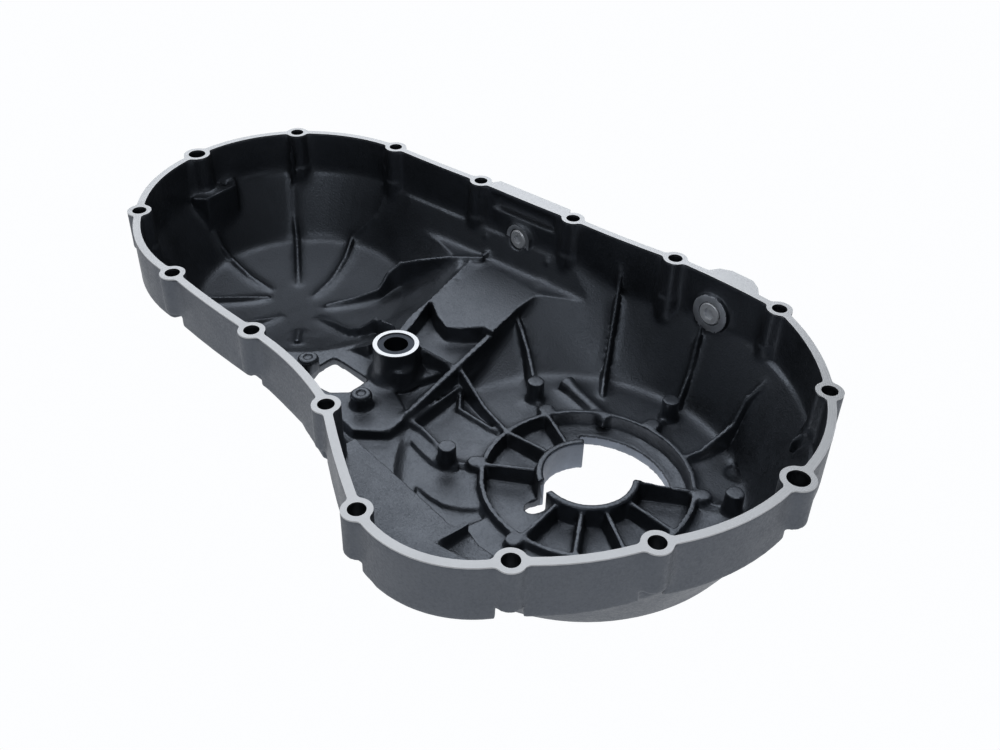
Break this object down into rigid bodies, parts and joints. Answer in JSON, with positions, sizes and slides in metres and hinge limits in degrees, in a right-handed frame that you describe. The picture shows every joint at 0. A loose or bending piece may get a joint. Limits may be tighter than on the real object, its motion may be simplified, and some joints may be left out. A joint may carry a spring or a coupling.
{
  "type": "outer primary cover",
  "caption": "Die-cast outer primary cover for a V-twin motorcycle: two bowls under one screwed rim, ribbed inside, with a clutch inspection opening, a shaft boss, a drain plug and a window.",
  "frame": {"origin": "clutch axis at the flat outer seat that the cover rests on", "axes": "+X from the crank end to the clutch end, +Z from the outer seat to the gasket face, open side up"},
  "size_m": [0.4288, 0.2665, 0.08],
  "materials": {
    "casting": "satin charcoal coating over a die casting, bare machined rim",
    "bushing": "plain turned metal",
    "plug": "dull plated",
    "screw": "dull plated"
  },
  "bodies": {
    "root": {"primary_cover": "casting", "shifter_shaft_bushing": "bushing", "drain_plug": "plug", "chain_adjuster_screw": "screw"}
  },
  "joints": []
}
